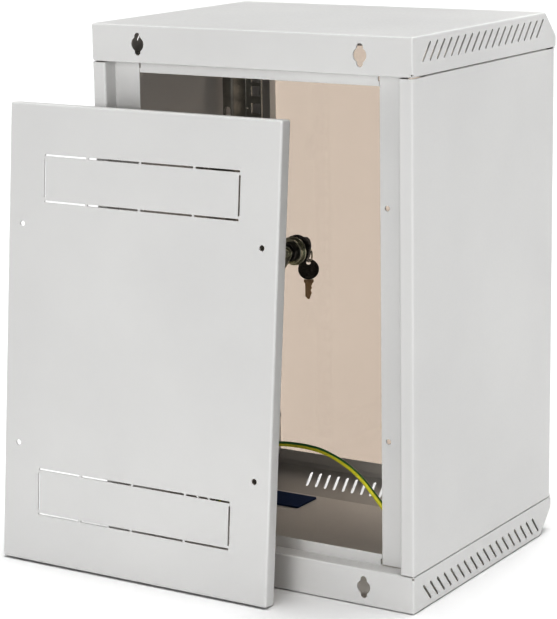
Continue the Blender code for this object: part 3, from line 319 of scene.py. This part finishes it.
def bronze_glass():
    """Bronze tinted glass. Lamps shine through it, tinted; its ground edges are darker and satin."""
    m, at = new_material("bronze_glass")
    facing = add(m, "ShaderNodeNewGeometry").outputs["Normal"]
    depth = add(m, "ShaderNodeSeparateXYZ", {"Vector": facing}).outputs["Y"]
    side = ranged(m, math_of(m, "ABSOLUTE", depth), 0.5, 0.9, 1.0, 0.0)
    haze = noise(m, at, 22.0, 4.0, 0.6)
    tint = mixed(m, side, GLASS_TINT, (0.30, 0.21, 0.14))
    rough = math_of(m, "ADD", ranged(m, haze, 0.5, 0.8, 0.0, 0.012), math_of(m, "MULTIPLY", side, 0.20))
    glass = principled(m, tint, rough, None, Transmission_Weight=1.0, IOR=1.45)
    through = tuple(math.sqrt(c) for c in GLASS_TINT)
    clear = add(m, "ShaderNodeBsdfTransparent", {"Color": (*through, 1.0)}).outputs["BSDF"]
    lamp = add(m, "ShaderNodeLightPath").outputs["Is Shadow Ray"]
    either = add(m, "ShaderNodeMixShader", {0: lamp, 1: glass, 2: clear}).outputs["Shader"]
    return finish_material(m, either)


FINISHES = (
    powder_coat, zinc_sheet, zinc_hardware, lock_steel, black_lock, key_bow,
    key_blade, navy_rubber, bumper, earth_sheath, bronze_glass,
)
MATERIALS = {finish.__name__: finish() for finish in FINISHES}


def paint(obj, slot):
    obj.data.materials.clear()
    obj.data.materials.append(MATERIALS[slot])


for name, node in NODES.items():
    paint(node, SLOT_OF[name])


# ---------------------------------------------------------------- pieces that stand for CAD nodes
def piece(name, mesh, node_name):
    """A finished piece in the place of a CAD node: it rides on its body and takes its finish."""
    obj = bpy.data.objects.new(name, mesh)
    bpy.context.scene.collection.objects.link(obj)
    paint(obj, SLOT_OF[node_name])
    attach(obj, NODES[node_name]["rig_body"])
    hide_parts(node_name)
    return obj


def weigh_normals(obj):
    weights = obj.modifiers.new("weights", "WEIGHTED_NORMAL")
    weights.keep_sharp = True


WELD = 2e-6  # metres, corners closer than this are one corner
CREASE = math.radians(34.0)


def smoothed(node_name):
    """The CAD node's own mesh with its curved faces shaded smooth and its creases kept."""
    bm = bmesh.new()
    bm.from_mesh(NODES[node_name].data)
    bmesh.ops.remove_doubles(bm, verts=bm.verts, dist=WELD)
    for face in bm.faces:
        face.smooth = True
    for edge in bm.edges:
        edge.smooth = len(edge.link_faces) == 2 and edge.calc_face_angle(0.0) < CREASE
    mesh = bpy.data.meshes.new(f"{node_name}_finish")
    bm.to_mesh(mesh)
    bm.free()
    obj = piece(f"{node_name}_finish", mesh, node_name)
    weigh_normals(obj)
    return obj


SMOOTH_SLOTS = ("zinc_hardware", "lock_steel", "black_lock", "key_blade", "bumper")
finished = {
    name: smoothed(name)
    for name in sorted(NODES)
    if SLOT_OF[name] in SMOOTH_SLOTS and name != "key_ring"
}


def tube(bm, loops, name):
    """A closed tube of quads through the loops of vertices, capped at both ends."""
    sides = len(loops[0])
    for here, there in zip(loops, loops[1:]):
        for j in range(sides):
            after = (j + 1) % sides
            bm.faces.new((here[j], here[after], there[after], there[j]))
    for loop in (loops[0], loops[-1]):
        bm.faces.new(loop)
    bmesh.ops.recalc_face_normals(bm, faces=bm.faces)
    for face in bm.faces:
        face.smooth = len(face.verts) == 4
    mesh = bpy.data.meshes.new(name)
    bm.to_mesh(mesh)
    bm.free()
    return mesh


# ---------------------------------------------------------------- earth lead
LEAD_ROUTE = [  # metres, from the right-hand floor stud to the left-hand one
    (0.1120, 0.0228, 0.0220), (0.1040, 0.0236, 0.0345), (0.0955, 0.0245, 0.0470),
    (0.0860, 0.0254, 0.0590), (0.0755, 0.0265, 0.0705), (0.0635, 0.0277, 0.0810),
    (0.0505, 0.0290, 0.0893), (0.0363, 0.0304, 0.0946), (0.0175, 0.0323, 0.0966),
    (0.0022, 0.0338, 0.0968), (-0.0100, 0.0350, 0.0958), (-0.0215, 0.0362, 0.0932),
    (-0.0315, 0.0372, 0.0898), (-0.0416, 0.0382, 0.0852), (-0.0500, 0.0390, 0.0802),
    (-0.0575, 0.0398, 0.0744), (-0.0645, 0.0405, 0.0678), (-0.0700, 0.0410, 0.0623),
    (-0.0748, 0.0415, 0.0574), (-0.0825, 0.0423, 0.0490), (-0.0905, 0.0431, 0.0400),
    (-0.0985, 0.0439, 0.0308), (-0.1060, 0.0446, 0.0220),
]
LEAD_DIAMETER = 0.0044
LEAD_SIDES = 20
LEAD_STEPS = 6
STRIPE_START = 215.0  # degrees round the lead to the middle of its yellow side, at the first end
STRIPE_WIND = -125.0  # degrees that this side winds round over the whole length


def smooth_curve(points, steps):
    """Points on a Catmull-Rom curve through the given ones."""
    points = [Vector(p) for p in points]
    padded = [2 * points[0] - points[1]] + points + [2 * points[-1] - points[-2]]
    curve = []
    for a, b, c, d in zip(padded, padded[1:], padded[2:], padded[3:]):
        for i in range(steps):
            t = i / steps
            bend = (2 * a - 5 * b + 4 * c - d) * t ** 2
            twist = (3 * b - a - 3 * c + d) * t ** 3
            curve.append((2 * b + (c - a) * t + bend + twist) / 2)
    return curve + [points[-1]]


def make_lead():
    route = smooth_curve(LEAD_ROUTE, LEAD_STEPS)
    length = sum((b - a).length for a, b in zip(route, route[1:]))
    bm = bmesh.new()
    stripe = bm.verts.layers.float.new("stripe")
    loops, run = [], 0.0
    for i, point in enumerate(route):
        before, after = route[max(i - 1, 0)], route[min(i + 1, len(route) - 1)]
        along = (after - before).normalized()
        side = along.cross(Vector((0, 0, 1))).normalized()
        up = side.cross(along)
        turn = math.radians(STRIPE_START + STRIPE_WIND * run / length)
        loop = []
        for j in range(LEAD_SIDES):
            angle = 2 * math.pi * j / LEAD_SIDES
            radial = up * math.cos(angle) + side * math.sin(angle)
            vertex = bm.verts.new(point + radial * LEAD_DIAMETER / 2)
            vertex[stripe] = math.cos(angle - turn)
            loop.append(vertex)
        loops.append(loop)
        run += (after - point).length
    lead = piece("earth_lead_sheath", tube(bm, loops, "earth_lead_sheath"), "earth_lead")


make_lead()


# ---------------------------------------------------------------- keys and ring
BOW_RADIUS = 0.0100
BOW_THICK = 0.0028
BOW_EASE = 0.0005
BOW_CREASE = math.radians(40)
BOW_HOLE_OFFSET = 0.0064
BOW_HOLE_RADIUS = 0.0022
RING_RADIUS = 0.0072
RING_WIRE = 0.00042
RING_PITCH = 0.00088  # between the two turns of wire
RING_DROP = 0.0009  # how far the spare bow's hole hangs below the wire
RING_START = -0.6  # radians, where the wire's first end lies
RING_STEPS = 144
RING_SIDES = 12
RING_JOG = 12.0  # the wire crosses over in one part in this many of its length
RING_AZIMUTH = math.radians(-29)
SPARE_AZIMUTH = math.radians(-57.7)


def bow_mesh(name):
    """A round moulded bow with eased edges, flat round the origin, with its hole towards -X."""
    curve = bpy.data.curves.new(name, "CURVE")
    curve.dimensions = "2D"
    curve.fill_mode = "BOTH"
    rim = (0.0, BOW_RADIUS - BOW_EASE, 64)
    hole = (-BOW_HOLE_OFFSET, BOW_HOLE_RADIUS + BOW_EASE, 32)
    for centre, radius, count in (rim, hole):
        spline = curve.splines.new("POLY")
        spline.points.add(count - 1)
        spline.use_cyclic_u = True
        for i, point in enumerate(spline.points):
            angle = 2 * math.pi * i / count
            point.co = (centre + radius * math.cos(angle), radius * math.sin(angle), 0, 1)
    curve.extrude = BOW_THICK / 2 - BOW_EASE
    curve.bevel_depth = BOW_EASE
    curve.bevel_resolution = 3
    holder = bpy.data.objects.new(name, curve)
    bpy.context.scene.collection.objects.link(holder)
    shaped = holder.evaluated_get(bpy.context.evaluated_depsgraph_get())
    mesh = bpy.data.meshes.new_from_object(shaped)
    bpy.data.objects.remove(holder)
    return mesh


def bow(name, node_name, placement):
    """A bow in the place of the CAD one: flat sides along the placement's X, hole towards -Y."""
    mesh = bow_mesh(name)
    turned = Matrix(((0, 0, 1, 0), (1, 0, 0, 0), (0, 1, 0, 0), (0, 0, 0, 1)))
    mesh.transform(placement @ turned)
    obj = piece(name, mesh, node_name)
    for polygon in mesh.polygons:
        polygon.use_smooth = True
    mesh.set_sharp_from_angle(angle=BOW_CREASE)
    weigh_normals(obj)


def make_ring(centre, azimuth):
    """A split ring: two turns of wire side by side, which cross over in a short jog."""
    across = Vector((math.cos(azimuth), math.sin(azimuth), 0))
    normal = Vector((-math.sin(azimuth), math.cos(azimuth), 0))
    bm = bmesh.new()
    loops = []
    for i in range(RING_STEPS + 1):
        angle = RING_START + 4 * math.pi * i / RING_STEPS
        jog = min(max((i / RING_STEPS - 0.5) * RING_JOG + 0.5, 0.0), 1.0)
        offset = RING_PITCH * (jog * jog * (3 - 2 * jog) - 0.5)
        radial = across * math.cos(angle) + Vector((0, 0, math.sin(angle)))
        middle = centre + radial * RING_RADIUS + normal * offset
        loop = []
        for j in range(RING_SIDES):
            around = 2 * math.pi * j / RING_SIDES
            outwards = radial * math.cos(around) + normal * math.sin(around)
            loop.append(bm.verts.new(middle + RING_WIRE * outwards))
        loops.append(loop)
    piece("split_ring", tube(bm, loops, "split_ring"), "key_ring")


def make_keys():
    lock = Vector(JOINT["lock_turn"]["pos_m"])
    ring = Vector(JOINT["ring_swing"]["pos_m"])
    spare = Vector(JOINT["spare_swing"]["pos_m"])
    bow("key_bow_moulding", "key_bow", Matrix.Translation((lock.x, ring.y + BOW_HOLE_OFFSET, lock.z)))
    hang = Matrix.Translation(spare - Vector((0, 0, RING_DROP + BOW_HOLE_OFFSET)))
    down = Matrix.Rotation(math.radians(-90), 4, "X")
    bow("spare_key_bow_moulding", "spare_key_bow", hang @ Matrix.Rotation(SPARE_AZIMUTH, 4, "Z") @ down)
    make_ring(ring - Vector((0, 0, RING_RADIUS)), RING_AZIMUTH)


make_keys()


# ---------------------------------------------------------------- floor, light and camera
FLOOR_HALF = 30.0
FLOOR_DROP = 0.0004  # metres, so that the floor isn't in one plane with the cabinet's underside


def make_floor():
    bm = bmesh.new()
    bmesh.ops.create_grid(bm, x_segments=1, y_segments=1, size=FLOOR_HALF)
    mesh = bpy.data.meshes.new("floor")
    bm.to_mesh(mesh)
    bm.free()
    floor = bpy.data.objects.new("floor", mesh)
    floor.location.z = -FLOOR_DROP
    bpy.context.scene.collection.objects.link(floor)
    m, at = new_material("floor")
    cloud = noise(m, at, 3.0, 2.0)
    colour = mixed(m, cloud, (0.80, 0.80, 0.80), (0.82, 0.82, 0.82))
    finish_material(m, principled(m, colour, 0.8, None, Specular_IOR_Level=0.1))
    mesh.materials.append(m)


SUNS = [  # name, direction that the light travels, strength, softness in degrees
    ("top", (0.05, 0.03, -1.0), 3.42, 40.0),
    ("rear", (0.12, -1.0, -0.12), 1.75, 30.0),
    ("left_rear", (1.0, -0.25, -0.12), 0.60, 30.0),
    ("left_front", (1.0, 0.36, -0.08), 0.79, 30.0),
    ("right", (-1.0, 0.15, -0.15), 1.30, 35.0),
    ("front", (-0.10, 1.0, -0.15), 1.15, 35.0),
]
FILL = 0.08  # strength of the light from all round
FILL_COLOUR = (0.98, 0.99, 1.0, 1)
CONTRAST = 0.70


def make_lights():
    for name, direction, strength, softness in SUNS:
        lamp = bpy.data.lights.new(name, "SUN")
        lamp.energy = strength
        lamp.angle = math.radians(softness)
        obj = bpy.data.objects.new(name, lamp)
        obj.rotation_mode = "QUATERNION"
        obj.rotation_quaternion = Vector(direction).to_track_quat("-Z", "Y")
        bpy.context.scene.collection.objects.link(obj)


def make_world():
    """White where the camera sees it, and a weak fill for everything else."""
    world = bpy.data.worlds.new("studio")
    bpy.context.scene.world = world
    world.use_nodes = True
    world.node_tree.nodes.clear()
    seen = add(world, "ShaderNodeBackground", {"Color": (1, 1, 1, 1), "Strength": 1.0})
    fill = add(world, "ShaderNodeBackground", {"Color": FILL_COLOUR, "Strength": FILL})
    camera_ray = add(world, "ShaderNodeLightPath").outputs["Is Camera Ray"]
    either = {0: camera_ray, 1: fill.outputs[0], 2: seen.outputs[0]}
    mix = add(world, "ShaderNodeMixShader", either).outputs[0]
    out = add(world, "ShaderNodeOutputWorld")
    world.node_tree.links.new(mix, out.inputs["Surface"])


CAMERA_AT = Vector((-0.99385, 1.65545, 0.64449))
CAMERA_YAW, CAMERA_PITCH, CAMERA_ROLL = 0.56432, -0.21846, -0.01593
CAMERA_LENS = 130.18
CAMERA_SENSOR = 36.0


def make_camera():
    ahead = Vector((
        math.sin(CAMERA_YAW) * math.cos(CAMERA_PITCH),
        -math.cos(CAMERA_YAW) * math.cos(CAMERA_PITCH),
        math.sin(CAMERA_PITCH),
    ))
    right = ahead.cross(Vector((0, 0, 1))).normalized()
    up = right.cross(ahead)
    level = math.cos(CAMERA_ROLL) * right + math.sin(CAMERA_ROLL) * up
    top = math.cos(CAMERA_ROLL) * up - math.sin(CAMERA_ROLL) * right
    data = bpy.data.cameras.new("camera")
    data.sensor_width = CAMERA_SENSOR
    data.lens = CAMERA_LENS
    data.clip_start, data.clip_end = 0.05, 100.0
    camera = bpy.data.objects.new("camera", data)
    camera.matrix_world = Matrix((
        (level.x, top.x, -ahead.x, CAMERA_AT.x),
        (level.y, top.y, -ahead.y, CAMERA_AT.y),
        (level.z, top.z, -ahead.z, CAMERA_AT.z),
        (0, 0, 0, 1),
    ))
    bpy.context.scene.collection.objects.link(camera)
    bpy.context.scene.camera = camera


make_floor()
make_lights()
make_world()
make_camera()
bpy.context.scene.view_settings.view_transform = "Standard"
bpy.context.scene.view_settings.look = "None"
bpy.context.scene.view_settings.gamma = CONTRAST
